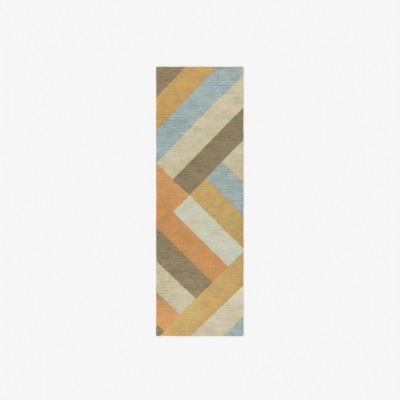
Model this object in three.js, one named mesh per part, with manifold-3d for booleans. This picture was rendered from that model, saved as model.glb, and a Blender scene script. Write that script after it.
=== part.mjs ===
// Runner rug: a hand-tufted wool runner, 680 x 2100 mm and 14 mm thick.
// Millimetres. +Z up, +Y along the runner towards its head end, +X to the right of someone
// who stands at the foot end and looks along it. The origin is the middle of the underside.
//
// From the top down: seventeen colour fields of cut pile, the primary cloth that they are tufted
// through (its margin folded under as a hem), the latex coat that locks the tufts, the canvas backing,
// and four mitred tapes that bind the canvas's raw edge, each sewn along both of its own edges.
import * as THREE from "three";
import { mergeVertices } from "three/addons/utils/BufferGeometryUtils.js";
import Module from "manifold-3d";

const wasm = await Module();
wasm.setup();

// ---------------------------------------------------------------- driving dimensions
const W = 680;               // overall width, X
const L = 2100;              // overall length, Y
const H = 14;                // overall thickness, Z
const GAP = 0.3;             // clearance between touching pieces

const TAPE_T = 0.5;          // binding tape: thickness
const TAPE_W = 38;           //   width
const TAPE_IN = 1.4;         //   its outer edge, in from the pile's edge
const CANVAS_T = 0.6;        // canvas backing: thickness
const CANVAS_LAP = 17.1;     //   how far its rim lies over the tapes
const CLOTH_T = 0.7;         // primary cloth: thickness
const CLOTH_IN = 1.1;        //   its folded edge, in from the pile's edge
const HEM_W = 40;            //   width of the hem folded under
const LATEX_T = 1.2;         // latex coat: thickness over the hem
const THREAD = 0.5;          // sewing thread, as a plain bar of this section
const OVERHAND_T = 0.6;      // overhand stitches down the folded edge: how thick they stand
const OVERHAND_H = 3.4;      //   and how high they climb

// levels, from the floor up
const Z_RIM = TAPE_T + GAP;                     // underside of the canvas rim
const Z_HEM = Z_RIM + CANVAS_T + GAP;           // underside of the hem
const Z_LATEX = Z_HEM + CLOTH_T + GAP;          // underside of the latex over the hem
const Z_CLOTH = Z_LATEX + LATEX_T + GAP;        // underside of the primary cloth
const Z_PILE = Z_CLOTH + CLOTH_T + GAP;         // foot of the pile

// plan position of the steps, measured in from the pile's edge
const TAPE_INNER = TAPE_IN + TAPE_W;                 // inner edge of the tapes
const CANVAS_LOW = TAPE_INNER + GAP + THREAD + GAP;  // where the canvas comes down to the floor
const CANVAS_OUT = CANVAS_LOW - CANVAS_LAP;          // outer edge of the canvas rim
const HEM_INNER = CLOTH_IN + HEM_W;                  // inner edge of the hem

// ---------------------------------------------------------------- colours
const COLOURS = {
  brown: 0x8e7f63, gold: 0xc5a267, blue: 0x9eaeab, cream: 0xc8bea0, mint: 0xc8c7b1,
  orange: 0xc7925f, ochre: 0xcaa56b, beige: 0xcdc3a9,
  cloth: 0xcfc6b2, latex: 0xd9d2bf, canvas: 0xbfae90, tape: 0xc9bc9f, thread: 0xb9a88a,
};
const finish = (name, roughness = 0.95) =>
  new THREE.MeshStandardMaterial({ color: COLOURS[name], roughness, metalness: 0 });

const rug = new THREE.Group();
rug.name = "runner_rug";
function add(name, geometry, material) {
  const mesh = new THREE.Mesh(geometry, material);
  mesh.name = name;
  rug.add(mesh);
  return mesh;
}

// ---------------------------------------------------------------- solids
// a right prism over a closed outline, from z0 to z1
function prism(outline, z0, z1) {
  const shape = new THREE.Shape(outline.map(([x, y]) => new THREE.Vector2(x, y)));
  const geometry = new THREE.ExtrudeGeometry(shape, { depth: z1 - z0, bevelEnabled: false });
  geometry.translate(0, 0, z0);
  return geometry;
}

// a flat slab as wide and long as the rug, less a margin all round
function slab(margin, z0, z1) {
  const geometry = new THREE.BoxGeometry(W - 2 * margin, L - 2 * margin, z1 - z0);
  geometry.translate(0, 0, (z0 + z1) / 2);
  return geometry;
}

function toSolid(geometry) {
  const bare = geometry.clone();
  bare.deleteAttribute("normal");
  bare.deleteAttribute("uv");
  const merged = mergeVertices(bare, 1e-5);
  return new wasm.Manifold(new wasm.Mesh({
    numProp: 3,
    vertProperties: new Float32Array(merged.attributes.position.array),
    triVerts: new Uint32Array(merged.index.array),
  }));
}

function toGeometry(solid) {
  const mesh = solid.getMesh();
  const geometry = new THREE.BufferGeometry();
  const positions = new Float32Array(mesh.numVert * 3);
  for (let v = 0; v < mesh.numVert; v++) {
    for (let k = 0; k < 3; k++) positions[v * 3 + k] = mesh.vertProperties[v * mesh.numProp + k];
  }
  geometry.setAttribute("position", new THREE.BufferAttribute(positions, 3));
  geometry.setIndex(new THREE.BufferAttribute(new Uint32Array(mesh.triVerts), 1));
  geometry.computeVertexNormals();
  return geometry;
}

// ---------------------------------------------------------------- the pattern
// Corners of the colour fields on the rug's plan. Every field is tufted up to its neighbour's seam.
const P = {
  headLeft: [-340, 1050], headRight: [340, 1050], footLeft: [-340, -1050], footRight: [340, -1050],
  head1: [-110.6, 1050], head2: [136.1, 1050],
  left1: [-340, 809.9], left2: [-340, 554.8], left3: [-340, 296.6], left4: [-340, -199.5],
  left5: [-340, -464.2], left6: [-340, -709.4], left7: [-340, -962.2],
  right1: [340, 982.9], right2: [340, 731.7], right3: [340, 480.0], right4: [340, 147.4],
  right5: [340, -106.7], right6: [340, -365.9], right7: [340, -394.0], right8: [340, -654.5],
  right9: [340, -899.2],
  foot1: [-310.8, -1050], foot2: [-72.5, -1050], foot3: [184.2, -1050],
  bowA: [-2.0, 646.7], bowB: [190.7, 839.6],
  notch: [-209.5, 168.5], apex: [172.5, 312.1], midBlue: [51.2, 180.4], cross: [-81.3, 48.9],
  barLeft: [-209.9, -81.7], barFoot: [220.1, -511.0],
  seam1: [96.8, -634.4], seam2: [-30.2, -757.9], seam3: [-156.5, -884.3], seam4: [-274.2, -1010.6],
};

const FIELDS = [
  ["pile_brown_top_corner", "brown", ["headLeft", "head1", "left1"]],
  ["pile_gold_upper_band", "gold", ["head1", "head2", "left2", "left1"]],
  ["pile_blue_upper_band", "blue", ["head2", "headRight", "right1", "bowB", "bowA", "left3", "left2"]],
  ["pile_cream_upper_band", "cream", ["right1", "right2", "notch", "left3", "bowA", "bowB"]],
  ["pile_brown_upper_band", "brown", ["right2", "right3", "apex", "midBlue", "cross", "notch"]],
  ["pile_cream_side_triangle", "cream", ["right3", "right4", "apex"]],
  ["pile_blue_side_band", "blue", ["apex", "right4", "right5", "midBlue"]],
  ["pile_gold_side_band", "gold", ["midBlue", "right5", "right6", "cross"]],
  ["pile_mint_bar", "mint", ["cross", "right6", "right7", "barFoot", "barLeft"]],
  ["pile_orange_ell", "orange", ["left3", "notch", "cross", "barLeft", "barFoot", "seam1", "left4"]],
  ["pile_brown_lower_band", "brown", ["left4", "seam1", "seam2", "left5"]],
  ["pile_cream_lower_band", "cream", ["left5", "seam2", "seam3", "left6"]],
  ["pile_orange_lower_wedge", "orange", ["left6", "seam3", "seam4", "left7"]],
  ["pile_brown_bottom_corner", "brown", ["left7", "seam4", "foot1", "footLeft"]],
  ["pile_gold_long_band", "ochre",
    ["right7", "right8", "foot2", "foot1", "seam4", "seam3", "seam2", "seam1", "barFoot"]],
  ["pile_beige_lower_band", "beige", ["right8", "right9", "foot3", "foot2"]],
  ["pile_blue_bottom_corner", "blue", ["right9", "footRight", "foot3"]],
];

// The outline of one field, drawn in by half the gap on every seam and left alone on the rug's own edge.
function fieldOutline(names) {
  let pts = names.map((n) => P[n]);
  let area = 0;
  pts.forEach(([x, y], i) => {
    const [u, v] = pts[(i + 1) % pts.length];
    area += x * v - u * y;
  });
  if (area < 0) pts = pts.reverse();                     // anticlockwise, so inside is to the left
  const lines = pts.map((a, i) => {
    const b = pts[(i + 1) % pts.length];
    const edge = (Math.abs(a[0]) === W / 2 && a[0] === b[0]) || (Math.abs(a[1]) === L / 2 && a[1] === b[1]);
    const len = Math.hypot(b[0] - a[0], b[1] - a[1]);
    const d = [(b[0] - a[0]) / len, (b[1] - a[1]) / len];
    const inset = edge ? 0 : GAP / 2;
    return { p: [a[0] - d[1] * inset, a[1] + d[0] * inset], d };
  });
  return pts.map((_, i) => {
    const m = lines[(i + lines.length - 1) % lines.length], n = lines[i];
    const cross = m.d[0] * n.d[1] - m.d[1] * n.d[0];
    if (Math.abs(cross) < 1e-4) return n.p;              // two runs of one straight seam
    const t = ((n.p[0] - m.p[0]) * n.d[1] - (n.p[1] - m.p[1]) * n.d[0]) / cross;
    return [m.p[0] + m.d[0] * t, m.p[1] + m.d[1] * t];
  });
}

for (const [name, colour, corners] of FIELDS) {
  add(name, prism(fieldOutline(corners), Z_PILE, H), finish(colour));
}

// ---------------------------------------------------------------- what the pile stands on
// Primary cloth: the deck under the pile, turned down at the edge and back under as a hem.
const cloth = toSolid(slab(CLOTH_IN, Z_HEM, Z_CLOTH + CLOTH_T))
  .subtract(toSolid(slab(CLOTH_IN + CLOTH_T, Z_HEM + CLOTH_T, Z_CLOTH)))
  .subtract(toSolid(slab(HEM_INNER, Z_HEM - 1, Z_HEM + CLOTH_T + 0.1)));
add("primary_cloth", toGeometry(cloth), finish("cloth"));

// Latex: a thin coat over the hem, and deeper inside it, down to the canvas.
const latex = toSolid(slab(CLOTH_IN + CLOTH_T + GAP, Z_LATEX, Z_LATEX + LATEX_T))
  .add(toSolid(slab(CANVAS_LOW + 0.8 + GAP, CANVAS_T + GAP, Z_LATEX + 0.5)));
add("latex_coat", toGeometry(latex), finish("latex", 0.7));

// Canvas: flat on the floor, stepping up at its rim to lie over the tapes.
const canvas = toSolid(slab(CANVAS_LOW, 0, Z_RIM + CANVAS_T))
  .add(toSolid(slab(CANVAS_OUT, Z_RIM, Z_RIM + CANVAS_T)))
  .subtract(toSolid(slab(CANVAS_LOW + 0.8, CANVAS_T, Z_RIM + CANVAS_T + 1)));
add("canvas_backing", toGeometry(canvas), finish("canvas"));

// ---------------------------------------------------------------- binding tapes, mitred at the corners
const xo = W / 2 - TAPE_IN, yo = L / 2 - TAPE_IN;        // outer edge
const xi = W / 2 - TAPE_INNER, yi = L / 2 - TAPE_INNER;  // inner edge
const m = GAP * 0.75;                                    // half the mitre's gap, along the edge
const side = [[xi, yi - m], [xi, -yi + m], [xo, -yo + m], [xo, yo - m]];
const end = [[-xi + m, yi], [-xo + m, yo], [xo - m, yo], [xi - m, yi]];
add("binding_tape_left", prism(side.map(([x, y]) => [-x, y]), 0, TAPE_T), finish("tape"));
add("binding_tape_right", prism(side, 0, TAPE_T), finish("tape"));
add("binding_tape_head", prism(end, 0, TAPE_T), finish("tape"));
add("binding_tape_foot", prism(end.map(([x, y]) => [x, -y]), 0, TAPE_T), finish("tape"));

// ---------------------------------------------------------------- sewing threads, each one long run
function bar(sx, sy, sz, x, y, z) {
  const geometry = new THREE.BoxGeometry(sx, sy, sz);
  geometry.translate(x, y, z);
  return geometry;
}
// overhand stitches down the outside of the folded edge, from the tape to the cloth under the pile
const ex = W / 2 - CLOTH_IN + GAP + OVERHAND_T / 2, ey = L / 2 - CLOTH_IN + GAP + OVERHAND_T / 2;
const ez = TAPE_T + OVERHAND_H / 2;
const sideRun = L - 2 * CLOTH_IN - 2 * GAP, endRun = W - 2 * CLOTH_IN + 2 * OVERHAND_T;
add("edge_stitch_left", bar(OVERHAND_T, sideRun, OVERHAND_H, -ex, 0, ez), finish("thread"));
add("edge_stitch_right", bar(OVERHAND_T, sideRun, OVERHAND_H, ex, 0, ez), finish("thread"));
add("edge_stitch_head", bar(endRun, OVERHAND_T, OVERHAND_H, 0, ey, ez), finish("thread"));
add("edge_stitch_foot", bar(endRun, OVERHAND_T, OVERHAND_H, 0, -ey, ez), finish("thread"));
// slip stitches along the inside edge of each tape
const tx = xi - GAP - THREAD / 2, ty = yi - GAP - THREAD / 2, tz = 0.02 + THREAD / 2;
const tapeSide = 2 * (ty - THREAD / 2 - GAP), tapeEnd = 2 * (tx + THREAD / 2);
add("tape_stitch_left", bar(THREAD, tapeSide, THREAD, -tx, 0, tz), finish("thread"));
add("tape_stitch_right", bar(THREAD, tapeSide, THREAD, tx, 0, tz), finish("thread"));
add("tape_stitch_head", bar(tapeEnd, THREAD, THREAD, 0, ty, tz), finish("thread"));
add("tape_stitch_foot", bar(tapeEnd, THREAD, THREAD, 0, -ty, tz), finish("thread"));

export default rug;
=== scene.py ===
"""Looks for the runner rug: tufted wool pile, folded primary cloth, latex, canvas backing, twill tapes and hand
stitching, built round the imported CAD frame. Metres, +Z up, +Y towards the head end."""
import math

import bpy
import numpy as np
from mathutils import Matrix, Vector


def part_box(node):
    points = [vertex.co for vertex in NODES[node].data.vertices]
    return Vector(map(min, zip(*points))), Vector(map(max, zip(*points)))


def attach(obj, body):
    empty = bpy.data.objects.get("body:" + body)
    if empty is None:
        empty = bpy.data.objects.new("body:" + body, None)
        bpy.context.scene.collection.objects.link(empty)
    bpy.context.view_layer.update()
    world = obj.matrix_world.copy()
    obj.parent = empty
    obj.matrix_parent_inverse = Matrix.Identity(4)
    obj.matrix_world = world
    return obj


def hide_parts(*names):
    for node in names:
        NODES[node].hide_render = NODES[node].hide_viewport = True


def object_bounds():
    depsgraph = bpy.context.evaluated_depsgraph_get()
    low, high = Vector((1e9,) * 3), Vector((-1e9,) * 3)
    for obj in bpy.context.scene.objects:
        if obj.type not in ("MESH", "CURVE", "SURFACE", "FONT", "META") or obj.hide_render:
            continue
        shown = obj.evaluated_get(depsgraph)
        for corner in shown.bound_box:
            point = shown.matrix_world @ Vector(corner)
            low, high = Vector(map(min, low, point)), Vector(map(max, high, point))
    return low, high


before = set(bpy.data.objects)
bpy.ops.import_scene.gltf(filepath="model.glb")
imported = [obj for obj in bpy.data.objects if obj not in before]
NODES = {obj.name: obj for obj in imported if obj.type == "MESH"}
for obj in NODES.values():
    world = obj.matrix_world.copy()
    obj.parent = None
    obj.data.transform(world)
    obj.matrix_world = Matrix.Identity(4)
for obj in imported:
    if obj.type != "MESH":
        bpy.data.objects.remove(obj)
cad_low, cad_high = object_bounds()
MM = 0.001

HALF_W, HALF_L = cad_high.x / MM, cad_high.y / MM          # 340, 1050
TOP = cad_high.z / MM                                      # 14
CLOTH_LOW, CLOTH_HIGH = (v.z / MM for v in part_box("primary_cloth"))   # hem's underside, deck's top
CLOTH_OUT = HALF_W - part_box("primary_cloth")[1].x / MM     # how far in the fold lies
TAPE_OUT = HALF_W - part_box("binding_tape_right")[1].x / MM
TAPE_IN = HALF_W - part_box("binding_tape_right")[0].x / MM
CANVAS_OUT = HALF_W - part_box("canvas_backing")[1].x / MM
LATEX_OUT = HALF_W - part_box("latex_coat")[1].x / MM
LATEX_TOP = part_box("latex_coat")[1].z / MM
LATEX_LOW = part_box("latex_coat")[0].z / MM
THREAD_IN = HALF_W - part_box("tape_stitch_right")[0].x / MM  # inner face of the slip stitches

PITCH = 4.5                                                # tuft spacing, both ways
STEP = PITCH / 3                                           # mesh spacing
FOOT = CLOTH_HIGH + 0.05                                   # where the pile comes out of the cloth


# ------------------------------------------------------------------ repeatable noise
def hashed(i, j, k=0):
    """0 to 1 for whole-number arrays, the same every run."""
    u, m = np.uint64, np.uint64(0xFFFFFFFF)
    i, j = np.atleast_1d(np.asarray(i, np.int64)).astype(u) & m, np.atleast_1d(np.asarray(j, np.int64)).astype(u) & m
    n = (i * u(374761393) + j * u(668265263) + u(k) * u(974634777)) & m
    n = ((n ^ (n >> u(13))) * u(1274126177)) & m
    n = ((n ^ (n >> u(15))) * u(2246822519)) & m
    return ((n ^ (n >> u(16))) & u(0xFFFFFF)).astype(float) / float(0xFFFFFF)


def along(x, row, seed):
    """Smooth noise along x, a separate run for each row, -1 to 1."""
    i = np.floor(x).astype(np.int64)
    f = x - i
    f = f * f * (3 - 2 * f)
    return 2 * (hashed(i, row, seed) * (1 - f) + hashed(i + 1, row, seed) * f) - 1


def over(x, y, seed):
    """Smooth noise over a plane, -1 to 1."""
    j = np.floor(y).astype(np.int64)
    f = y - j
    f = f * f * (3 - 2 * f)
    return along(x, j, seed) * (1 - f) + along(x, j + 1, seed) * f


def drift(x, y):
    """How far hand work puts the true outline and seams off the straight: one smooth field for every layer, mm."""
    t = 2 * math.pi
    dx = (0.55 * np.sin(t * y / 413 + 1.3) + 0.45 * np.sin(t * y / 167 + x / 310 + 0.4)
          + 0.30 * np.sin(t * y / 83 - x / 120 + 2.2))
    dy = (0.50 * np.sin(t * x / 391 + 0.7 + y / 900) + 0.40 * np.sin(t * x / 149 + y / 260 + 2.9)
          + 0.25 * np.sin(t * x / 71 - y / 110 + 4.1))
    return dx, dy


def laid(x, y):
    """Where a point of the true rectangle lies on the rug: the corners are a little round, and hand work wanders."""
    r = 6.0
    a, b = np.abs(x) - (HALF_W - r), np.abs(y) - (HALF_L - r)
    share = np.where((a > 0) & (b > 0), np.maximum(a, b) / np.maximum(np.hypot(a, b), 1e-9), 1.0)
    near = (a > 0) & (b > 0)
    rx = np.where(near, np.sign(x) * (HALF_W - r + a * share), x)
    ry = np.where(near, np.sign(y) * (HALF_L - r + b * share), y)
    dx, dy = drift(x, y)
    return rx + dx, ry + dy


def ragged(x, y):
    """Tufts of one yarn reach a little into the next along a seam: one field for every piece, mm. It dies out towards
    the rug's own edge."""
    hold = 0.85 * np.clip(np.minimum(HALF_W - np.abs(x), HALF_L - np.abs(y)) / 4, 0, 1)
    return hold * over(x / 5.2, y / 4.5, 91), hold * over(x / 5.2 + 31.7, y / 4.5, 92)


def sag(x, y):
    """How far the layers above the tapes settle onto them near the rug's edge, mm. The canvas, which holds them up
    further in, stops short of the edge."""
    d = np.clip(np.minimum(HALF_W - np.abs(x), HALF_L - np.abs(y)) / 25.0, 0, 1)
    return 0.72 * (1 - d * d * (3 - 2 * d))


# ------------------------------------------------------------------ mesh from arrays
def make_mesh(name, verts, faces, uvs, smooth=True, attributes=None):
    """verts (n, 3) in mm. faces: list of integer arrays, each (m, corners), or lists of ids. uvs: for each entry of
    faces, an array (m, corners, 2) or (corners, 2), in mm on the flat, scaled here to fill the bake map."""
    starts, loops, places = [], [], []
    at = 0
    for f, uv in zip(faces, uvs):
        f = np.asarray(f, np.int32)
        if f.ndim == 1:
            f, uv = f[None], np.asarray(uv)[None]
        if not len(f):
            continue
        starts.append(at + np.arange(len(f)) * f.shape[1])
        loops.append(f.ravel())
        places.append(np.asarray(uv, float).reshape(-1, 2))
        at += f.size
    starts, loops, places = np.concatenate(starts), np.concatenate(loops), np.concatenate(places)
    me = bpy.data.meshes.new(name)
    me.vertices.add(len(verts))
    me.vertices.foreach_set("co", (np.asarray(verts, float) * MM).astype(np.float32).ravel())
    me.loops.add(len(loops))
    me.loops.foreach_set("vertex_index", loops.astype(np.int32))
    me.polygons.add(len(starts))
    me.polygons.foreach_set("loop_start", starts.astype(np.int32))
    layer = me.uv_layers.new(name="OFBake")
    low, size = places.min(0), max(np.ptp(places, axis=0).max(), 1e-6)
    layer.uv.foreach_set("vector", (0.004 + 0.992 * (places - low) / size).astype(np.float32).ravel())
    for key, values in (attributes or {}).items():
        me.attributes.new(key, "FLOAT", "POINT").data.foreach_set("value", np.asarray(values, np.float32))
    me.update(calc_edges=True)
    me.validate()
    me.polygons.foreach_set("use_smooth", np.full(len(me.polygons), smooth))
    me.update()
    ob = bpy.data.objects.new(name, me)
    bpy.context.scene.collection.objects.link(ob)
    return ob


# ------------------------------------------------------------------ the outline of each field, from its CAD node
def outline(node):
    """The top face's outline of a prism, anticlockwise, in mm."""
    me = NODES[node].data
    pts = np.array([v.co for v in me.vertices], float) / MM
    key = [tuple(np.round(p, 3)) for p in pts]
    edges = {}
    for poly in me.polygons:
        if poly.normal.z > 0.9:
            ids = [key[i][:2] for i in poly.vertices]
            for a, b in zip(ids, ids[1:] + ids[:1]):
                if (b, a) in edges:
                    del edges[(b, a)]
                else:
                    edges[(a, b)] = True
    after = {a: b for a, b in edges}
    loop = [next(iter(after))]
    while after[loop[-1]] != loop[0]:
        loop.append(after[loop[-1]])
    return np.array(loop, float)


def side_kinds(poly):
    """True for each side of the outline that lies on the rug's own edge."""
    nxt = np.roll(poly, -1, axis=0)
    on_x = (abs(abs(poly[:, 0]) - HALF_W) < 0.01) & (abs(poly[:, 0] - nxt[:, 0]) < 0.01)
    on_y = (abs(abs(poly[:, 1]) - HALF_L) < 0.01) & (abs(poly[:, 1] - nxt[:, 1]) < 0.01)
    return on_x | on_y


def far_from(points, a, b):
    """Distance of each point from the segment a-b."""
    d = b - a
    t = np.clip(((points - a) @ d) / (d @ d), 0, 1)
    return np.linalg.norm(points - a - t[:, None] * d, axis=1)


# ------------------------------------------------------------------ the pile
def tuft_at(x, y):
    """Row and tuft numbers, and how far up its dome each point is: 0 in the furrow, 1 on the crown."""
    row = np.floor(y / PITCH).astype(np.int64)
    shift = np.floor(hashed(row, row * 0 + 7, 11) * 3) * STEP
    col = np.floor((x + shift) / PITCH).astype(np.int64)
    up_row = np.abs(np.sin(math.pi * y / PITCH)) ** 0.6
    up_col = np.abs(np.sin(math.pi * (x + shift) / PITCH)) ** 0.6
    return row, col, up_row, up_col


def tones(x, y, row, col):
    """Yarn tone, about -1 to 1: each row's yarn changes along its run, the rows go in by fives with the first two of
    each five a little deeper, and single tufts differ."""
    pair, five = np.floor_divide(row, 2), np.floor_divide(row, 5)
    run = 0.60 * along(x / 7.4 + 17.3 * hashed(pair, pair * 0, 3), pair, 21)
    run += 0.24 * along(x / 19 + 3.9 * hashed(row, row * 0, 6), row, 26)
    run += 0.24 * along(x / 60 + 9.1 * hashed(pair, pair * 0, 4), pair, 22)
    run += 0.22 * along(x / 170 + 5.7 * hashed(pair, pair * 0, 5), pair, 23)
    run -= 0.65 * (row - 5 * five < 2) * np.clip(0.45 + 0.55 * along(x / 32 + 7.1 * hashed(five, five * 0, 8), five, 28),
                                                 0, 1)
    run += 0.33 * over(x / 50, y / 23, 27) + 0.28 * over(x / 36, y / 37, 30)
    return run + 0.14 + 0.38 * (2 * hashed(row, col, 24) - 1)


def make_pile(node, lean):
    """lean: how much lighter the colour gets across the field, as a share for each metre along X and Y."""
    poly = outline(node)
    outer = side_kinds(poly)
    nxt = np.roll(poly, -1, axis=0)
    low, high = poly[:, 1].min(), poly[:, 1].max()

    # the mesh rows: every STEP, and one through each corner of the outline
    corner_rows = []
    for y in np.sort(poly[:, 1]):
        if not corner_rows or y - corner_rows[-1] > 0.02:
            corner_rows.append(y)
    corner_rows = np.array(corner_rows)
    grid = np.arange(math.ceil(low / STEP), math.floor(high / STEP) + 1) * STEP
    grid = grid[np.abs(grid[:, None] - corner_rows).min(1) > 0.42 * STEP]
    rows_y = np.sort(np.concatenate([grid, corner_rows]))

    left, right = np.full(len(rows_y), np.inf), np.full(len(rows_y), -np.inf)
    for a, b in zip(poly, nxt):
        if abs(a[1] - b[1]) < 1e-6:
            here = np.abs(rows_y - a[1]) < 1e-4
            xs = [np.full(here.sum(), a[0]), np.full(here.sum(), b[0])]
        else:
            here = (rows_y >= min(a[1], b[1]) - 1e-6) & (rows_y <= max(a[1], b[1]) + 1e-6)
            t = np.clip((rows_y[here] - a[1]) / (b[1] - a[1]), 0, 1)
            xs = [a[0] + t * (b[0] - a[0])]
        for x in xs:
            left[here] = np.minimum(left[here], x)
            right[here] = np.maximum(right[here], x)

    chains, first_col, px, py = [], [], [], []
    count = 0
    for y, x0, x1 in zip(rows_y, left, right):
        if x1 - x0 < 0.05:
            xs, c0 = np.array([(x0 + x1) / 2]), None
        else:
            c0 = math.ceil((x0 + 0.42 * STEP) / STEP)
            c1 = math.floor((x1 - 0.42 * STEP) / STEP)
            inner = np.arange(c0, c1 + 1) * STEP if c1 >= c0 else np.zeros(0)
            xs = np.concatenate([[x0], inner, [x1]])
            c0 = c0 if len(inner) else None
        chains.append(np.arange(count, count + len(xs)))
        first_col.append(c0)
        px.append(xs)
        py.append(np.full(len(xs), y))
        count += len(xs)
    px, py = np.concatenate(px), np.concatenate(py)

    quads, tris = [], []

    def zipper(p, q):
        i = j = 0
        while i < len(p) - 1 or j < len(q) - 1:
            if j == len(q) - 1 or (i < len(p) - 1 and abs(px[p[i + 1]] - px[q[j]]) <= abs(px[q[j + 1]] - px[p[i]])):
                tris.append((p[i], p[i + 1], q[j]))
                i += 1
            else:
                tris.append((p[i], q[j + 1], q[j]))
                j += 1

    for k in range(len(chains) - 1):
        p, q, a, b = chains[k], chains[k + 1], first_col[k], first_col[k + 1]
        c0 = c1 = None
        if a is not None and b is not None:
            c0, c1 = max(a, b), min(a + len(p) - 3, b + len(q) - 3)
        if c0 is None or c1 <= c0:
            zipper(p, q)
            continue
        m = np.arange(c0, c1)
        quads.append(np.stack([p[1 + m - a], p[2 + m - a], q[2 + m - b], q[1 + m - b]], 1))
        zipper(p[: 2 + c0 - a], q[: 2 + c0 - b])
        zipper(p[1 + c1 - a:], q[1 + c1 - b:])
    quads = np.concatenate(quads)
    tris = np.array(tris, np.int32)

    # heights
    flat = np.stack([px, py], 1)
    seam = np.full(count, 99.0)
    edge = np.full(count, 99.0)
    for a, b, is_outer in zip(poly, nxt, outer):
        d = far_from(flat, a, b)
        if is_outer:
            edge = np.minimum(edge, d)
        else:
            seam = np.minimum(seam, d)
    row, col, up_row, up_col = tuft_at(px, py)
    crown = up_row * up_col
    # the rows lie close together in places and stand apart in others
    line = np.round(py / PITCH).astype(np.int64)
    apart = np.clip(0.30 + 0.60 * along(px / 42, line, 25) + 0.38 * (line % 5 == 0), 0, 1)  # most at each fifth row
    z = TOP - 0.38 - (0.95 + 0.95 * apart) * (1 - up_row) - 0.85 * (1 - up_col) * up_row
    z += crown * 0.36 * (2 * hashed(row, col, 31) - 1)                 # tufts differ in height
    z += (0.10 + 0.18 * crown) * (2 * hashed(np.round(px * 7), np.round(py * 7), 32) - 1)  # yarn ends
    z += 0.26 * over(px / 95, py / 60, 33) + 0.16 * over(px / 31, py / 24, 34)  # shearing
    cut = 0.35 + 1.3 * np.clip(0.5 + 0.5 * over(px / 70, py / 70, 39), 0, 1)   # the shears went deeper in places
    z -= 0.82 * cut * np.clip(1 - seam / 2.8, 0, 1) ** 1.2             # the line between two yarns
    z -= 2.1 * np.clip(1 - edge / 3.6, 0, 1) ** 1.7                    # rounded over at the rug's edge
    tone = tones(px, py, row, col)
    middle = poly.mean(0)
    shade = (lean[0] * (px - middle[0]) + lean[1] * (py - middle[1])) * MM
    # painted shade: darker low between the rows and between the tufts, and along the cut line of a seam
    painted_shade = np.clip((1 - up_row) * (0.45 + 0.55 * apart) + 0.30 * (1 - up_col) * up_row
                  + 0.16 * cut * np.clip(1 - seam / 2.2, 0, 1), 0, 1)

    # boundary, anticlockwise
    loop = list(chains[0]) + [c[-1] for c in chains[1:]] + list(chains[-1][:-1][::-1]) + [c[0] for c in chains[-2:0:-1]]
    clean = []
    for v in loop:
        if not clean or v != clean[-1]:
            clean.append(v)
    if clean[0] == clean[-1]:
        clean.pop()
    loop = np.array(clean)
    n = len(loop)
    after = np.roll(loop, -1)
    mid = (flat[loop] + flat[after]) / 2
    gaps = np.stack([far_from(mid, a, b) for a, b in zip(poly, nxt)], 1)
    side = gaps.argmin(1)                                             # the side that the span after each point lies on
    direction = nxt - poly
    direction /= np.linalg.norm(direction, axis=1)[:, None]
    normals = np.stack([direction[:, 1], -direction[:, 0]], 1)        # outward
    before = np.roll(side, 1)
    normal = normals[side] + normals[before]
    normal /= np.linalg.norm(normal, axis=1)[:, None]
    open_here = outer[side] | outer[before]                           # touches a visible side of the pile

    # columns of vertices down the pile's side
    drop = np.array([0.16, 0.40, 0.68, 0.88, 1.0])                    # share of the way down to the cloth
    out = np.array([0.45, 0.62, 0.35, -0.25, -0.85])                  # how far it stands out there, mm
    columns = np.zeros((n, len(drop)), np.int64)
    extra, extra_xy = [], []                                          # their heights and places
    at = count
    tz = z[loop]
    ribs = np.where(np.abs(normal[:, 0]) > 0.7, up_row[loop], up_col[loop])
    jitter = 2 * hashed(np.round(px[loop] * 3), np.round(py[loop] * 3), 41) - 1
    for i in range(n):
        v = loop[i]
        if open_here[i]:
            for l in range(len(drop)):
                o = out[l] - 0.75 * (1 - ribs[i]) * (1 - 0.35 * l / 4) + 0.12 * jitter[i]
                if not (outer[side[i]] and outer[before[i]]):
                    o = min(o, 0) * 0.5 if not (outer[side[i]] or outer[before[i]]) else 0.0
                extra_xy.append(flat[v] + normal[i] * o)
                extra.append(tz[i] + (FOOT - tz[i]) * drop[l])
                columns[i, l] = at
                at += 1
        else:
            extra_xy.append(flat[v])
            extra.append(FOOT)
            columns[i, :] = at
            at += 1
    ex = np.array(extra_xy)
    # the pile's own outline moves in at each furrow too
    top_xy = flat.copy()
    shift_in = -0.55 * (1 - ribs) + 0.1 * jitter
    both = outer[side] & outer[before]
    straight = both & (side == before)
    top_xy[loop[straight]] += normal[straight] * shift_in[straight, None]
    # tufts lean a little, and hand-guided rows wander, away from the outline
    near = np.minimum(seam, edge)
    room = np.clip(near / 3, 0, 1) * crown
    wander = np.clip(near / 9, 0, 1)
    top_xy[:, 0] += room * 0.36 * (2 * hashed(row, col, 35) - 1) + wander * 0.6 * over(px / 45, py / 30, 37)
    top_xy[:, 1] += room * 0.36 * (2 * hashed(row, col, 36) - 1) + wander * 1.0 * over(px / 60, py / 27, 38)

    xy = np.concatenate([top_xy, ex])
    at_seam = np.concatenate([np.clip(1 - seam / 6, 0, 1), np.ones(len(ex))])
    off_x, off_y = ragged(*np.concatenate([flat, ex]).T)
    xy += np.stack([off_x, off_y], 1) * at_seam[:, None]
    verts = np.stack([*laid(xy[:, 0], xy[:, 1]), np.concatenate([z, extra]) - sag(xy[:, 0], xy[:, 1])], 1)
    down = np.clip(1 - (np.array(extra) - FOOT) / (TOP - FOOT), 0, 1)
    which = np.concatenate([np.full(len(drop) if o else 1, i) for i, o in enumerate(open_here)])
    # painted shade down the pile's side: darker towards the cloth and in each furrow
    painted_shade_all = np.concatenate([painted_shade, np.clip(0.15 + 0.55 * down ** 2 + 0.45 * (1 - ribs[which]), 0, 1)])
    tone = np.concatenate([tone, tone[loop[which]]])
    shade = np.concatenate([shade, shade[loop[which]]])
    wall = np.zeros(len(verts))
    wall[count:] = 1
    wall[loop[open_here]] = 0.4

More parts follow.
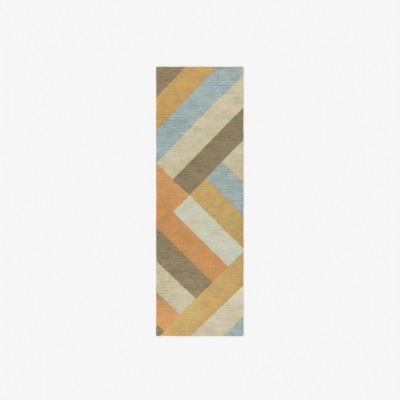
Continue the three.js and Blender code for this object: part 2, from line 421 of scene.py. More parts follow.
    # faces and their places on the map: the top flat, each side's wall unrolled in a band above it, and the
    # underside small beyond those
    faces = [quads, tris]
    uvs = [verts[quads][:, :, :2], verts[tris][:, :, :2]]
    base = verts[:count, 1].max() + 8
    west = verts[:count, 0].min()
    width = np.ptp(verts[:count, 0])
    band = 15.0
    run = np.concatenate([[0], np.cumsum(np.linalg.norm(flat[after] - flat[loop], axis=1))])
    lead = {s: run[np.flatnonzero(side == s)[0]] if (side == s).any() else 0 for s in range(len(poly))}
    if side[0] == side[-1]:                                           # the loop starts part way along a side
        s, i = side[0], n - 1
        while side[i] == s and i > 0:
            i -= 1
        lead[s] = run[i + 1] - run[-1]
    wall_q, wall_uv = [], []
    for i in range(n):
        j = (i + 1) % n
        s = side[i]
        length = np.linalg.norm(nxt[s] - poly[s])
        squeeze = min(1.0, width / length)
        start = run[i] if not (side[0] == side[-1] == s and i > n / 2) else run[i] - run[-1]
        u0 = west + (start - lead[s]) * squeeze
        u1 = u0 + (run[i + 1] - run[i]) * squeeze
        v0 = base + s * band
        a = [loop[i]] + (list(columns[i]) if open_here[i] else [columns[i, -1]])
        b = [loop[j]] + (list(columns[j]) if open_here[j] else [columns[j, -1]])
        if len(a) == len(b):
            for l in range(len(a) - 1):
                wall_q.append((a[l + 1], b[l + 1], b[l], a[l]))
                h0, h1 = v0 + 11 * (1 - l / (len(a) - 1)), v0 + 11 * (1 - (l + 1) / (len(a) - 1))
                wall_uv.append(((u0, h1), (u1, h1), (u1, h0), (u0, h0)))
        else:
            ring = a[::-1][:1] + b[::-1] + a[:-1] if len(b) > len(a) else a[::-1] + b
            if len(b) > len(a):
                ring = [a[-1]] + b[::-1] + [a[0]]
                place = [(u0, v0)] + [(u1, v0 + 11 * k / (len(b) - 1)) for k in range(len(b))] + [(u0, v0 + 11)]
            else:
                ring = [b[-1], b[0]] + a
                place = [(u1, v0), (u1, v0 + 11)] + [(u0, v0 + 11 * (1 - k / (len(a) - 1))) for k in range(len(a))]
            faces.append(np.array(ring))
            uvs.append(np.array(place))
    faces.append(np.array(wall_q))
    uvs.append(np.array(wall_uv))

    # underside: one strip for each mesh row
    foot_of = {int(v): int(columns[i, -1]) for i, v in enumerate(loop)}
    under_y = base + len(poly) * band + 4
    small = 0.2

    def under(ids):
        p = verts[ids][:, :2]
        return np.stack([west + (p[:, 0] - west) * small, under_y + (high - p[:, 1]) * small], 1)

    strips = []
    for k in range(len(chains) - 1):
        p, q = chains[k], chains[k + 1]
        lower = [foot_of[int(v)] for v in (p if k == 0 else p[[0, -1]] if len(p) > 1 else p)]
        upper = [foot_of[int(v)] for v in (q if k == len(chains) - 2 else q[[0, -1]] if len(q) > 1 else q)]
        ring = upper + lower[::-1]
        if len(ring) == 4:
            strips.append(ring)
        else:
            faces.append(np.array(ring))
            uvs.append(under(ring))
    if strips:
        strips = np.array(strips)
        faces.append(strips)
        uvs.append(under(strips.ravel()).reshape(-1, 4, 2))

    return make_mesh(node.replace("pile_", "wool_"), verts, faces, uvs,
                     attributes={"tone": tone, "painted_shade": painted_shade_all, "shade": shade, "wall": wall})


# ------------------------------------------------------------------ flat sheets with shaped rims
def ring_points(inset, nx, ny):
    """A rectangle drawn in from the rug's edge by inset, anticlockwise from its lower left corner."""
    x, y = HALF_W - inset, HALF_L - inset
    xs, ys = np.linspace(-x, x, nx + 1), np.linspace(-y, y, ny + 1)
    return np.concatenate([
        np.stack([xs[:-1], np.full(nx, -y)], 1), np.stack([np.full(ny, x), ys[:-1]], 1),
        np.stack([xs[::-1][:-1], np.full(nx, y)], 1), np.stack([np.full(ny, -x), ys[::-1][:-1]], 1)])


def rim_sheet(name, profile, nx, ny, ripple=0.0, seed=0, settled=True, floor_at=None):
    """A closed sheet: a flat grid above, a flat grid below, and between them the rings of profile, a list of
    (inset, z) from the upper grid's border round the rim to the lower grid's border. The first and last share an
    inset."""
    a = profile[0][0]
    x, y = HALF_W - a, HALF_L - a
    xs, ys = np.linspace(-x, x, nx + 1), np.linspace(-y, y, ny + 1)
    gx, gy = np.meshgrid(xs, ys)
    grid = np.stack([gx.ravel(), gy.ravel()], 1)
    g = np.arange(len(grid)).reshape(ny + 1, nx + 1)
    border = np.concatenate([g[0, :-1], g[:-1, -1], g[-1, ::-1][:-1], g[::-1, 0][:-1]])
    verts = [np.c_[grid, np.full(len(grid), profile[0][1])]]
    total = len(grid)
    rings = [border]
    for inset, z in profile[1:-1]:
        p = ring_points(inset, nx, ny)
        verts.append(np.c_[p, np.full(len(p), z)])
        rings.append(total + np.arange(len(p)))
        total += len(p)
    verts.append(np.c_[grid, np.full(len(grid), profile[-1][1])])
    low = total + g
    rings.append(total + border)
    verts = np.concatenate(verts)
    q_top = np.stack([g[:-1, :-1], g[:-1, 1:], g[1:, 1:], g[1:, :-1]], -1).reshape(-1, 4)
    q_low = np.stack([low[:-1, :-1], low[1:, :-1], low[1:, 1:], low[:-1, 1:]], -1).reshape(-1, 4)
    faces, uvs = [q_top, q_low], [verts[q_top][:, :, :2], None]
    reach = 0.0
    place = verts[rings[0]][:, :2]
    spread = 0.0
    for k in range(len(rings) - 1):
        r, s = rings[k], rings[k + 1]
        q = np.stack([r, s, np.roll(s, -1), np.roll(r, -1)], 1)
        step = math.hypot(profile[k + 1][0] - profile[k][0], profile[k + 1][1] - profile[k][1])
        spread += max(step, 0.15)
        outer_place = ring_points(a - spread, nx, ny)
        faces.append(q)
        uvs.append(np.stack([place, outer_place, np.roll(outer_place, -1, axis=0), np.roll(place, -1, axis=0)], 1))
        place = outer_place
    shift = 2 * (HALF_W - a + spread) + 12
    uvs[1] = verts[q_low][:, :, :2] + [shift, 0]
    if ripple:
        verts[:, 2] += ripple * over(verts[:, 0] / 37 + 5, verts[:, 1] / 43, seed)
        verts[:, 2] += 0.4 * ripple * over(verts[:, 0] / 11, verts[:, 1] / 13, seed + 1)
    if settled:
        verts[:, 2] -= sag(verts[:, 0], verts[:, 1])
    if floor_at is not None:
        verts[:, 2] = np.maximum(verts[:, 2], floor_at)
    verts[:, 0], verts[:, 1] = laid(verts[:, 0], verts[:, 1])
    return make_mesh(name, verts, faces, uvs)


def arc(cx, cz, r, start, stop, n):
    """Points (inset, z) on an arc. Angles from straight inboard; +90 is up."""
    t = np.radians(np.linspace(start, stop, n))
    return [(cx + r * math.cos(a), cz + r * math.sin(a)) for a in t]


def make_primary_cloth():
    t = 0.7
    mid = (CLOTH_LOW + CLOTH_HIGH) / 2
    r = (CLOTH_HIGH - CLOTH_LOW) / 2
    cx = CLOTH_OUT + r
    hem = CLOTH_OUT + 40
    profile = [(6.0, CLOTH_HIGH), (cx + 0.8, CLOTH_HIGH)]
    profile += arc(cx, mid, r, 90, 270, 11)
    profile += [(inset, CLOTH_LOW) for inset in np.linspace(cx + 1.5, hem - 0.3, 14)]
    profile += [(hem, CLOTH_LOW + 0.12), (hem + 0.05, CLOTH_LOW + t / 2), (hem, CLOTH_LOW + t - 0.12)]
    profile += [(inset, CLOTH_LOW + t) for inset in np.linspace(hem - 0.3, cx + 1.5, 14)]
    profile += arc(cx, mid, r - t, 270, 90, 9)
    profile += [(cx + 0.8, CLOTH_HIGH - t), (6.0, CLOTH_HIGH - t)]
    return rim_sheet("primary_cloth_sheet", profile, 68, 208)


def make_latex():
    low, top, out = LATEX_LOW, LATEX_TOP, LATEX_OUT
    hem_z = CLOTH_LOW + 0.7 + 0.25
    profile = [(46, top), (out + 0.6, top), (out + 0.15, top - 0.2), (out, top - 0.6), (out + 0.2, hem_z + 0.15),
               (out + 0.6, hem_z)]
    profile += [(inset, hem_z) for inset in np.linspace(6, CLOTH_OUT + 40.2, 8)]
    profile += [(CLOTH_OUT + 41.0, hem_z - 0.3), (CLOTH_OUT + 41.4, low + 0.7), (CLOTH_OUT + 42.0, low + 0.15),
                (46, low)]
    return rim_sheet("latex_skin", profile, 68, 208, ripple=0.08, seed=51)


def make_canvas():
    t = 0.6
    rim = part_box("canvas_backing")[1].z / MM - t
    profile = [(60, t), (THREAD_IN + 3.4, t), (THREAD_IN + 2.2, t + 0.12), (THREAD_IN + 1.2, t + 0.40),
               (THREAD_IN + 0.2, rim + t - 0.14), (THREAD_IN - 1.0, rim + t)]
    profile += [(inset, rim + t) for inset in np.linspace(THREAD_IN - 4, CANVAS_OUT + 0.3, 6)]
    profile += [(CANVAS_OUT + 0.05, rim + t - 0.1), (CANVAS_OUT, rim + t / 2), (CANVAS_OUT + 0.05, rim + 0.1)]
    profile += [(inset, rim) for inset in np.linspace(CANVAS_OUT + 0.3, THREAD_IN - 4, 6)]
    profile += [(THREAD_IN - 0.6, rim), (THREAD_IN + 0.8, rim - 0.16), (THREAD_IN + 1.8, 0.36),
                (THREAD_IN + 2.8, 0.13), (THREAD_IN + 4.0, 0.07), (60, 0.07)]
    return rim_sheet("canvas_sheet", profile, 104, 322, ripple=0.045, seed=61, settled=False, floor_at=0.01)


# ------------------------------------------------------------------ tapes
STITCH = 10.5                                              # spacing of the hand stitches, mm


def make_tape(name, axis, sign):
    """A woven tape along one edge. axis 0: left or right, running along Y. axis 1: head or foot, along X."""
    half_run = (HALF_L if axis == 0 else HALF_W) - TAPE_OUT
    width = TAPE_IN - TAPE_OUT
    n = int(2 * half_run / 3.0)
    across = np.array([0, 0.012, 0.04, 0.10, 0.22, 0.38, 0.54, 0.70, 0.84, 0.93, 0.975, 1.0])
    low = np.array([0.34, 0.20, 0.14, 0.15, 0.15, 0.15, 0.15, 0.15, 0.15, 0.14, 0.19, 0.32])
    high = np.array([0.46, 0.60, 0.66, 0.65, 0.65, 0.65, 0.65, 0.65, 0.65, 0.66, 0.61, 0.46])
    m = len(across)
    t = np.linspace(-1, 1, n + 1)
    w = across * width
    # the ends are mitred: each thread line across the tape is shorter further in
    s = t[:, None] * (half_run - w[None] - 0.06)
    inset = TAPE_OUT + np.repeat(w[None], n + 1, 0)
    pull = np.cos(2 * math.pi * s / STITCH)
    inset[:, -1] -= 0.22 * (pull[:, -1] > 0.75) + 0.12 * over(s[:, -1] / 21, s[:, -1] * 0, 71)
    inset[:, 0] += 0.25 * np.clip(pull[:, 0], 0, 1) ** 4
    flat_off = (HALF_W if axis == 0 else HALF_L) - inset
    zl = low[None] + 0.05 * over(s / 17, inset / 9, 72) + 0.1 * np.clip(pull, 0, 1) ** 6 * (np.abs(across - 0.97) < 0.05)
    zh = high[None] + 0.04 * over(s / 17, inset / 9, 73) + 0 * s
    zl, zh = np.maximum(zl, 0.06), np.minimum(zh, 0.74)
    up = np.clip(1 - (inset - TAPE_OUT) / 11, 0, 1)
    zl, zh = zl + 0.2 * up * up, zh + 0.2 * up * up                   # drawn up to the fold by its stitches

    def place(z):
        a, b = sign * flat_off, s
        x, y = (a, b) if axis == 0 else (b, a)
        return np.stack([*laid(x, y), z], -1).reshape(-1, 3)

    top, bottom = place(zh), place(zl)
    verts = np.concatenate([top, bottom])
    g = np.arange((n + 1) * m).reshape(n + 1, m)
    h = g + (n + 1) * m

    def flip(q):
        return q if (sign > 0) == (axis == 1) else q[:, ::-1]

    q_top = np.stack([g[:-1, :-1], g[:-1, 1:], g[1:, 1:], g[1:, :-1]], -1).reshape(-1, 4)
    q_bot = np.stack([h[:-1, :-1], h[1:, :-1], h[1:, 1:], h[:-1, 1:]], -1).reshape(-1, 4)
    q_in = np.stack([g[:-1, -1], h[:-1, -1], h[1:, -1], g[1:, -1]], -1)
    q_out = np.stack([g[1:, 0], h[1:, 0], h[:-1, 0], g[:-1, 0]], -1)
    q_a = np.stack([g[0, :-1], h[0, :-1], h[0, 1:], g[0, 1:]], -1)
    q_b = np.stack([g[-1, 1:], h[-1, 1:], h[-1, :-1], g[-1, :-1]], -1)
    # the long strip is cut into four lengths for the map
    fold = 4
    length = (2 * half_run) / fold
    lane = 2 * width + 12

    def uv_of(ids, base):
        f = ids // m if base == 0 else (ids - (n + 1) * m) // m
        c = ids % m
        along_it = (t[f] + 1) / 2 * 2 * half_run
        return along_it, w[c]

    faces, uvs = [], []
    for q, base in ((q_top, 0), (q_bot, 1)):
        u, v = uv_of(q, base)
        piece = np.minimum((u.mean(1) / length).astype(int), fold - 1)[:, None]
        uv = np.stack([u - piece * length, v + piece * lane + base * (width + 4)], -1)
        faces.append(flip(q))
        uvs.append(uv if (sign > 0) == (axis == 1) else uv[:, ::-1])
    y0 = fold * lane + 4
    for i, q in enumerate((q_in, q_out)):
        u = (t[(q % ((n + 1) * m)) // m] + 1) / 2 * length
        v = y0 + i * 4 + (q >= (n + 1) * m) * 1.5
        faces.append(flip(q))
        uv = np.stack([u, v], -1)
        uvs.append(uv if (sign > 0) == (axis == 1) else uv[:, ::-1])
    for i, q in enumerate((q_a, q_b)):
        u = w[q % m] + i * (width + 6)
        v = y0 + 10 + (q >= (n + 1) * m) * 1.5
        faces.append(flip(q))
        uv = np.stack([u, v], -1)
        uvs.append(uv if (sign > 0) == (axis == 1) else uv[:, ::-1])
    return make_mesh(name, verts, faces, uvs)


# ------------------------------------------------------------------ hand stitches
def make_stitches(name, axis, sign, path, half_run, radius, offset=0.0):
    """Short closed lengths of thread, one for each stitch. path: (inset, z, how far along) for each point."""
    path = np.array(path, float)
    centres = np.arange(-half_run + STITCH, half_run - STITCH * 0.6, STITCH) + offset
    sides = 6
    k = len(path)
    verts, faces, uvs = [], [], []
    across = int(math.ceil(math.sqrt(len(centres) * 2.2)))
    for i, c in enumerate(centres):
        r1, r2, r3 = (2 * float(hashed(i, int(sign * 7 + axis * 13), s)[0]) - 1 for s in (81, 82, 83))
        a = path[:, 0] + 0.18 * r2
        s = c + path[:, 2] * (1 + 0.12 * r3) + 0.9 * r1
        z = path[:, 1] + 0.05 * r3
        flat_off = sign * ((HALF_W if axis == 0 else HALF_L) - a)
        x, y = (flat_off, s) if axis == 0 else (s, flat_off)
        line = np.stack([*laid(x, y), z], 1)
        tangent = np.gradient(line, axis=0)
        tangent /= np.linalg.norm(tangent, axis=1)[:, None]
        up = np.zeros(3)
        up[1 - axis] = 1.0
        n1 = np.cross(tangent, up)
        n1 /= np.maximum(np.linalg.norm(n1, axis=1), 1e-6)[:, None]
        n2 = np.cross(tangent, n1)
        size = radius * np.array([0.55] + [1.0] * (k - 2) + [0.55])
        ang = np.linspace(0, 2 * math.pi, sides + 1)[:-1]
        ring = line[:, None] + size[:, None, None] * (np.cos(ang)[None, :, None] * n1[:, None] + np.sin(ang)[None, :, None] * n2[:, None])
        base = i * k * sides
        verts.append(ring.reshape(-1, 3))
        cell = np.array([(i % across) * 9.0, (i // across) * 4.0])
        g = base + np.arange(k * sides).reshape(k, sides)
        nxt = np.roll(g, -1, axis=1)
        faces.append(np.stack([g[:-1], nxt[:-1], nxt[1:], g[1:]], -1).reshape(-1, 4))
        u = np.linspace(0, 6, k)
        v = np.linspace(0, 3, sides + 1)
        uv = np.zeros((k - 1, sides, 4, 2))
        for j, (du, dv) in enumerate(((0, 0), (0, 1), (1, 1), (1, 0))):
            uv[:, :, j, 0] = u[du:k - 1 + du, None]
            uv[:, :, j, 1] = v[None, dv:sides + dv]
        uvs.append(uv.reshape(-1, 4, 2) + cell)
        for end, ids, shift in ((0, g[0][::-1], 6.6), (1, g[-1], 7.8)):
            faces.append(np.array(ids))
            uvs.append(cell + [shift, 0.6] + 0.5 * np.stack([np.cos(ang), np.sin(ang)], 1)[::-1 if end == 0 else 1])
    quads = np.concatenate([f for f in faces if f.ndim == 2])
    quv = np.concatenate([u for f, u in zip(faces, uvs) if f.ndim == 2])
    caps = np.array([f for f in faces if f.ndim == 1])
    cuv = np.array([u for f, u in zip(faces, uvs) if f.ndim == 1])
    return make_mesh(name, np.concatenate(verts), [quads, caps], [quv, cuv])


# ------------------------------------------------------------------ materials
def srgb(r, g, b):
    def lin(c):
        c /= 255
        return c / 12.92 if c <= 0.04045 else ((c + 0.055) / 1.055) ** 2.4
    return lin(r), lin(g), lin(b)


class Nodes:
    """Short names for building a node tree."""

    def __init__(self, name):
        self.mat = bpy.data.materials.new(name)
        self.mat.use_nodes = True
        self.tree = self.mat.node_tree
        self.tree.nodes.clear()
        self.out = self.tree.nodes.new("ShaderNodeOutputMaterial")
        self.bsdf = self.tree.nodes.new("ShaderNodeBsdfPrincipled")
        self.tree.links.new(self.bsdf.outputs[0], self.out.inputs["Surface"])
        self.coord = self.tree.nodes.new("ShaderNodeTexCoord").outputs["Object"]

    def link(self, a, b):
        self.tree.links.new(a, b)

    def math(self, op, a, b=None, clamp=False):
        n = self.tree.nodes.new("ShaderNodeMath")
        n.operation, n.use_clamp = op, clamp
        for i, v in enumerate((a, b)):
            if v is None:
                continue
            if isinstance(v, (int, float)):
                n.inputs[i].default_value = v
            else:
                self.link(v, n.inputs[i])
        return n.outputs[0]

    def noise(self, scale, detail=2.0, rough=0.5, stretch=(1, 1, 1), vector=None):
        m = self.tree.nodes.new("ShaderNodeMapping")
        m.inputs["Scale"].default_value = stretch
        self.link(vector or self.coord, m.inputs["Vector"])
        n = self.tree.nodes.new("ShaderNodeTexNoise")
        n.inputs["Scale"].default_value = scale
        n.inputs["Detail"].default_value = detail
        n.inputs["Roughness"].default_value = rough
        self.link(m.outputs[0], n.inputs["Vector"])
        return n.outputs["Fac"]

    def cells(self, scale):
        """Distance from the middle of each of many small cells."""
        n = self.tree.nodes.new("ShaderNodeTexVoronoi")
        n.inputs["Scale"].default_value = scale
        self.link(self.coord, n.inputs["Vector"])
        return n.outputs["Distance"]

    def blend(self, fac, a, b):
        n = self.tree.nodes.new("ShaderNodeMix")
        n.data_type = "FLOAT"
        for socket, v in zip((n.inputs[0], n.inputs[2], n.inputs[3]), (fac, a, b)):
            self.link(v, socket)
        return n.outputs[0]

    def attribute(self, name):
        n = self.tree.nodes.new("ShaderNodeAttribute")
        n.attribute_name = name
        return n.outputs["Fac"]

    def remap(self, v, a0, a1, b0, b1):
        n = self.tree.nodes.new("ShaderNodeMapRange")
        n.inputs["From Min"].default_value, n.inputs["From Max"].default_value = a0, a1
        n.inputs["To Min"].default_value, n.inputs["To Max"].default_value = b0, b1
        self.link(v, n.inputs["Value"])
        return n.outputs["Result"]

    def mix(self, fac, a, b, mode="MIX"):
        n = self.tree.nodes.new("ShaderNodeMix")
        n.data_type, n.blend_type = "RGBA", mode
        for socket, v in ((n.inputs[0], fac), (n.inputs[6], a), (n.inputs[7], b)):
            if isinstance(v, (int, float)):
                socket.default_value = v
            elif isinstance(v, tuple):
                socket.default_value = (*v[:3], 1)
            else:
                self.link(v, socket)
        return n.outputs[2]

    def scale_colour(self, colour, factor):
        """colour times a number."""
        n = self.tree.nodes.new("ShaderNodeVectorMath")
        n.operation = "SCALE"
        self.link(colour, n.inputs[0])
        self.link(factor, n.inputs["Scale"])
        return n.outputs[0]

    def bump(self, height, strength, distance, normal=None):
        n = self.tree.nodes.new("ShaderNodeBump")
        n.inputs["Strength"].default_value = strength
        n.inputs["Distance"].default_value = distance
        self.link(height, n.inputs["Height"])
        if normal is not None:
            self.link(normal, n.inputs["Normal"])
        return n.outputs[0]

    def finish(self, colour, roughness, normal=None, sheen=0.0, sheen_rough=0.5, sheen_tint=(1, 1, 1), specular=0.3):
        b = self.bsdf
        self.link(colour, b.inputs["Base Color"])
        if isinstance(roughness, (int, float)):
            b.inputs["Roughness"].default_value = roughness
        else:
            self.link(roughness, b.inputs["Roughness"])
        if normal is not None:
            self.link(normal, b.inputs["Normal"])
        b.inputs["Sheen Weight"].default_value = sheen
        b.inputs["Sheen Roughness"].default_value = sheen_rough
        b.inputs["Sheen Tint"].default_value = (*sheen_tint, 1)
        b.inputs["Specular IOR Level"].default_value = specular
        return self.mat


def wool(name, rgb, streak):
    """Cut wool pile. The mesh carries tone, the yarn's own; shade, a slow lightening across the field; a mask of
    painted shade, deepest low between the tufts, along a seam's cut and down the pile's side; and wall, 1 down the
    pile's side."""
    k = Nodes(name)
    base = srgb(*rgb)
    tone, shade, painted_shade, wall = (k.attribute(a) for a in ("tone", "shade", "painted_shade", "wall"))
    fibre = k.noise(780, 3, 0.7)
    heather = k.noise(190, 2, 0.6, stretch=(0.75, 1.3, 1))
    strands = k.noise(1.0, 3, 0.6, stretch=(760, 760, 70))
    ends = k.cells(460)
    dye = k.noise(6.0, 3, 0.6, stretch=(1, 1.25, 1))
    lot = k.noise(4.6, 2, 0.5, stretch=(1, 1.4, 1))
    dyed = k.noise(9.5, 2, 0.5, stretch=(0.8, 1.5, 1))
    level = k.math("ADD", k.math("MULTIPLY", tone, streak), 1.0)
    level = k.math("ADD", level, shade)
    level = k.math("ADD", level, k.remap(dye, 0.3, 0.7, -0.068, 0.068))
    level = k.math("ADD", level, k.remap(heather, 0.25, 0.75, -0.055, 0.055))
    # the cells are lighter in the middle of each yarn end and darker towards its rim: painted shade between the ends,
    # added to the fibres' own grain
    grain_and_end_shade = k.math("ADD", k.remap(fibre, 0.25, 0.75, -0.09, 0.09), k.remap(ends, 0.1, 0.75, 0.05, -0.13))
    side = k.remap(strands, 0.28, 0.72, -0.16, 0.12)
    level = k.math("ADD", level, k.blend(wall, grain_and_end_shade, side))
    # painted shade: the colour darkens where the mask says a point lies low
    level = k.math("SUBTRACT", level, k.math("MULTIPLY", painted_shade, 0.26))
    level = k.math("MULTIPLY", level, 1.245)                          # so that the yarns' mean is the colour given
    warm = tuple(c * w for c, w in zip(base, (1.045, 1.0, 0.92)))
    cool = tuple(c * w for c, w in zip(base, (0.97, 1.0, 1.06)))
    hue = k.mix(k.remap(lot, 0.32, 0.68, 0, 1), warm, cool)
    hue = k.mix(1.0, hue, k.mix(k.remap(dyed, 0.34, 0.66, 0, 1), (1.03, 0.987, 0.99), (0.97, 1.011, 1.0)), "MULTIPLY")
    pale = k.mix(k.remap(heather, 0.45, 0.8, 0, 0.30), hue, tuple(min(1.0, c * 1.14 + 0.02) for c in base))
    colour = k.scale_colour(pale, level)
    rough = k.remap(fibre, 0.3, 0.7, 0.84, 1.0)
    top = k.math("SUBTRACT", k.math("MULTIPLY", fibre, 0.5), k.math("MULTIPLY", ends, 0.7))
    normal = k.bump(k.blend(wall, top, strands), 0.7, 0.0011)
    tint = tuple(0.5 + 0.5 * c for c in base)
    return k.finish(colour, rough, normal, sheen=0.16, sheen_rough=0.6, sheen_tint=tint, specular=0.12)


def woven(name, rgb, pitch, relief, slub=0.06):
    """Plain weave. pitch is one thread's width in metres."""
    k = Nodes(name)
    base = srgb(*rgb)
    split = k.tree.nodes.new("ShaderNodeSeparateXYZ")
    k.link(k.coord, split.inputs[0])
    x, y = split.outputs[0], split.outputs[1]
    u, v = k.math("MULTIPLY", x, math.pi / pitch), k.math("MULTIPLY", y, math.pi / pitch)
    weave = k.math("MULTIPLY", k.math("SINE", u), k.math("SINE", v))     # over and under
    weave = k.math("ADD", k.math("MULTIPLY", weave, 0.75),
                   k.math("MULTIPLY", k.math("ABSOLUTE", k.math("SINE", u)), 0.25))
    weave = k.remap(weave, -1, 1, 0, 1)
    fibre = k.noise(1100, 3, 0.6)
    run_x = k.noise(1.0, 2, 0.5, stretch=(12, 420, 1))
    run_y = k.noise(1.0, 2, 0.5, stretch=(420, 12, 1))
    stain = k.noise(5, 3, 0.6)
    level = k.math("ADD", k.remap(weave, 0, 1, 0.80, 1.06), k.remap(fibre, 0.3, 0.7, -0.04, 0.04))
    level = k.math("ADD", level, k.remap(run_x, 0.3, 0.7, -slub, slub))
    level = k.math("ADD", level, k.remap(run_y, 0.3, 0.7, -slub, slub))
    level = k.math("ADD", level, k.remap(stain, 0.3, 0.7, -0.03, 0.03))
    pale = k.mix(k.remap(stain, 0.35, 0.65, 0, 1), base, tuple(c * w for c, w in zip(base, (1.03, 0.99, 0.93))))
    colour = k.scale_colour(pale, level)
    height = k.math("ADD", weave, k.math("MULTIPLY", fibre, 0.35))
    return k.finish(colour, k.remap(fibre, 0.3, 0.7, 0.82, 0.98), k.bump(height, 0.8, relief), sheen=0.1,
                    sheen_rough=0.5, specular=0.15)


def herringbone(name, rgb, axis, rib=0.0017, column=0.0063):
    """Herringbone tape: slanting ribs that turn back at each column, running along the tape."""
    k = Nodes(name)
    base = srgb(*rgb)
    split = k.tree.nodes.new("ShaderNodeSeparateXYZ")
    k.link(k.coord, split.inputs[0])
    across, length = split.outputs[axis], split.outputs[1 - axis]
    turn = k.math("PINGPONG", k.math("ADD", k.math("ABSOLUTE", across), 0.0011), column)
    phase = k.math("MULTIPLY", k.math("ADD", length, k.math("MULTIPLY", turn, 1.1)), 2 * math.pi / rib)
    ribs = k.remap(k.math("SINE", phase), -1, 1, 0, 1)
    picks = k.remap(k.math("SINE", k.math("MULTIPLY", across, 2 * math.pi / 0.0009)), -1, 1, 0, 1)
    fibre, wear = k.noise(1200, 3, 0.6), k.noise(18, 3, 0.6)
    level = k.math("ADD", k.remap(ribs, 0, 1, 0.83, 1.05), k.remap(picks, 0, 1, -0.03, 0.03))
    level = k.math("ADD", level, k.remap(fibre, 0.3, 0.7, -0.04, 0.04))
    level = k.math("ADD", level, k.remap(wear, 0.3, 0.7, -0.035, 0.035))
    pale = k.mix(k.remap(wear, 0.35, 0.65, 0, 1), base, tuple(c * w for c, w in zip(base, (1.02, 0.99, 0.94))))
    height = k.math("ADD", ribs, k.math("ADD", k.math("MULTIPLY", picks, 0.3), k.math("MULTIPLY", fibre, 0.3)))
    return k.finish(k.scale_colour(pale, level), k.remap(fibre, 0.3, 0.7, 0.8, 0.96), k.bump(height, 0.8, 0.0003),
                    sheen=0.1, specular=0.15)


def latex_finish(name):
    k = Nodes(name)
    base = srgb(214, 206, 186)
    lumps, fine = k.noise(60, 4, 0.6), k.noise(420, 3, 0.6)
    loops = k.noise(1.0, 1, 0.4, stretch=(200, 222, 1))
    level = k.math("ADD", k.remap(lumps, 0.3, 0.7, 0.93, 1.05), k.remap(fine, 0.3, 0.7, -0.03, 0.03))
    colour = k.scale_colour(k.mix(k.remap(loops, 0.4, 0.6, 0, 1), base, tuple(c * 0.92 for c in base)), level)
    height = k.math("ADD", lumps, k.math("MULTIPLY", loops, 0.6))
    return k.finish(colour, k.remap(fine, 0.3, 0.7, 0.55, 0.8), k.bump(height, 0.5, 0.0006), specular=0.4)


def thread_finish(name, rgb):
    k = Nodes(name)
    base = srgb(*rgb)
    twist = k.noise(1.0, 2, 0.5, stretch=(1500, 1500, 1500))
    wear = k.noise(40, 2, 0.5)
    level = k.math("ADD", k.remap(twist, 0.3, 0.7, 0.86, 1.10), k.remap(wear, 0.3, 0.7, -0.05, 0.05))
    colour = k.scale_colour(k.mix(k.remap(wear, 0.3, 0.7, 0, 1), base, tuple(c * 0.94 for c in base)), level)
    return k.finish(colour, k.remap(twist, 0.3, 0.7, 0.7, 0.9), k.bump(twist, 0.6, 0.0002), sheen=0.1, specular=0.3)


def floor_finish(name, albedo, glow):
    k = Nodes(name)
    fine = k.noise(2.0, 2, 0.5)
    colour = k.scale_colour(k.mix(0.0, (albedo,) * 3, (albedo,) * 3), k.remap(fine, 0.3, 0.7, 0.999, 1.001))
    k.finish(colour, 0.95, specular=0.0)
    # half of it glows, which keeps the shadow beside so thin an object as faint as a lit studio sweep does
    k.bsdf.inputs["Emission Color"].default_value = (1, 1, 1, 1)
    k.bsdf.inputs["Emission Strength"].default_value = glow
    return k.mat


# ------------------------------------------------------------------ camera, light, floor
scene = bpy.context.scene
scene.view_settings.view_transform = "Standard"
scene.view_settings.look = "None"
scene.view_settings.exposure = 0.0
scene.view_settings.gamma = 1.0

SEEN = 3.1176                                              # metres across the picture at the pile's top
lens = bpy.data.cameras.new("camera")
lens.lens, lens.sensor_width = 100.0, 36.0
lens.clip_start, lens.clip_end = 0.1, 200.0
camera = bpy.data.objects.new("camera", lens)
scene.collection.objects.link(camera)
camera.location = (0.00175, 0.01033, TOP * MM + SEEN / 2 / (lens.sensor_width / 2 / lens.lens))
camera.rotation_euler = (0, 0, 0)                          # straight down, +Y up the picture
scene.camera = camera

SUN, SKY = 1.62, 0.52
sun_data = bpy.data.lights.new("key", "SUN")
sun_data.energy, sun_data.angle = SUN, math.radians(42)
sun = bpy.data.objects.new("key", sun_data)
sun.rotation_euler = (math.radians(-20), math.radians(-22), 0)   # from high on the head end's left
scene.collection.objects.link(sun)

world = bpy.data.worlds.new("studio")
scene.world = world
world.use_nodes = True
wt = world.node_tree
wt.nodes.clear()
w_out, w_bg = wt.nodes.new("ShaderNodeOutputWorld"), wt.nodes.new("ShaderNodeBackground")
w_dir, w_split = wt.nodes.new("ShaderNodeTexCoord"), wt.nodes.new("ShaderNodeSeparateXYZ")
w_map = wt.nodes.new("ShaderNodeMapRange")
w_map.interpolation_type = "SMOOTHSTEP"
w_map.inputs["From Min"].default_value, w_map.inputs["From Max"].default_value = 0.10, 0.34
w_map.inputs["To Min"].default_value, w_map.inputs["To Max"].default_value = 0.90, SKY
wt.links.new(w_dir.outputs["Generated"], w_split.inputs[0])
wt.links.new(w_split.outputs[2], w_map.inputs["Value"])
w_col = wt.nodes.new("ShaderNodeCombineColor")
for i in range(3):
    wt.links.new(w_map.outputs["Result"], w_col.inputs[i])
wt.links.new(w_col.outputs[0], w_bg.inputs["Color"])
wt.links.new(w_bg.outputs[0], w_out.inputs["Surface"])

bpy.ops.mesh.primitive_circle_add(vertices=96, radius=60, fill_type="NGON", location=(0, 0, -0.0003))
floor = bpy.context.object
floor.name = "floor"
floor.data.materials.append(floor_finish("floor_paint", 0.47, 0.46))

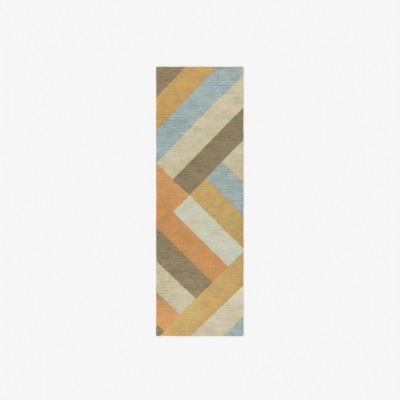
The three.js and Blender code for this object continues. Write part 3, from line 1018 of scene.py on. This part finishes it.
# ------------------------------------------------------------------ build
# slot, colour, how strongly its rows differ, and how it lightens along X and Y
WOOLS = {
    "pile_brown_top_corner": ("wool_brown", (145.0, 129.0, 99.7), 0.14, (0.20, 0.07)),
    "pile_gold_upper_band": ("wool_gold", (194.6, 158.9, 97.1), 0.097, (-0.29, 0.34)),
    "pile_blue_upper_band": ("wool_blue", (158.4, 174.2, 173.2), 0.155, (0.10, 0.02)),
    "pile_cream_upper_band": ("wool_cream", (200.4, 190.9, 162.1), 0.083, (-0.12, 0.19)),
    "pile_brown_upper_band": ("wool_brown", (138.7, 125.5, 96.9), 0.139, (0.19, -0.19)),
    "pile_cream_side_triangle": ("wool_cream", (195.0, 185.0, 156.1), 0.108, (-0.13, 0.29)),
    "pile_blue_side_band": ("wool_blue", (155.4, 170.8, 168.2), 0.148, (0.05, 0.10)),
    "pile_gold_side_band": ("wool_gold", (191.7, 159.9, 102.7), 0.098, (-0.13, 0.21)),
    "pile_mint_bar": ("wool_mint", (198.6, 198.0, 177.2), 0.055, (-0.00, 0.05)),
    "pile_orange_ell": ("wool_orange", (199.3, 146.8, 95.0), 0.088, (0.28, 0.19)),
    "pile_brown_lower_band": ("wool_brown", (142.9, 129.3, 100.7), 0.195, (0.08, -0.11)),
    "pile_cream_lower_band": ("wool_cream", (197.5, 188.4, 160.7), 0.11, (0.18, -0.03)),
    "pile_orange_lower_wedge": ("wool_orange", (206.9, 155.7, 103.0), 0.106, (0.27, -0.87)),
    "pile_brown_bottom_corner": ("wool_brown", (150, 130, 98), 0.14, (0.0, 0.0)),
    "pile_gold_long_band": ("wool_ochre", (200.3, 168.9, 108.8), 0.073, (-0.34, 0.10)),
    "pile_beige_lower_band": ("wool_beige", (204.2, 194.9, 169.9), 0.087, (-0.28, 0.62)),
    "pile_blue_bottom_corner": ("wool_blue", (158.4, 173.8, 174.8), 0.152, (0.1, -0.3)),
}


def settle(ob, node, material):
    ob.data.materials.append(material)
    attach(ob, "root")
    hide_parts(node)
    return ob


for node, (slot, rgb, streak, lean) in WOOLS.items():
    settle(make_pile(node, lean), node, wool(node.replace("pile_", "yarn_"), rgb, streak))

primary = settle(make_primary_cloth(), "primary_cloth",
                 woven("primary_cotton_weave", (207, 198, 178), 0.0011, 0.0003))
latex = settle(make_latex(), "latex_coat", latex_finish("latex_dried"))
canvas = settle(make_canvas(), "canvas_backing",
                woven("canvas_weave", (191, 174, 144), 0.0014, 0.0005, slub=0.08))

twill = [herringbone(f"twill_tape_{n}", (206, 195, 168), axis) for axis, n in enumerate(("sides", "ends"))]
thread = thread_finish("cotton_thread", (178, 160, 130))
EDGES = {"left": (0, -1), "right": (0, 1), "head": (1, 1), "foot": (1, -1)}
OVERHAND = [(5.4, 0.62, -1.7), (4.7, 0.36, -1.4), (2.9, 0.34, -0.8), (1.5, 0.44, -0.4), (0.75, 0.85, -0.05),
            (0.62, 1.5, 0.25), (0.66, 2.3, 0.6), (0.72, 3.0, 0.95), (1.15, 3.55, 1.25), (2.0, 3.8, 1.5)]
SLIP = [(TAPE_IN - 3.7, 0.56, -2.0), (TAPE_IN - 3.0, 0.35, -1.6), (TAPE_IN - 1.2, 0.33, -0.6),
        (TAPE_IN + 0.6, 0.33, 0.4), (TAPE_IN + 2.2, 0.33, 1.4), (TAPE_IN + 3.0, 0.52, 1.9)]
tapes = []
for edge, (axis, sign) in EDGES.items():
    tape = settle(make_tape(f"twill_tape_{edge}", axis, sign), f"binding_tape_{edge}", twill[axis])
    half = (HALF_L if axis == 0 else HALF_W)
    over_edge = settle(make_stitches(f"overhand_thread_{edge}", axis, sign, OVERHAND, half - 2.0, 0.33),
                       f"edge_stitch_{edge}", thread)
    slip = settle(make_stitches(f"slip_thread_{edge}", axis, sign, SLIP, half - TAPE_IN - 2.0, 0.27),
                  f"tape_stitch_{edge}", thread)
    tapes.append(tape)
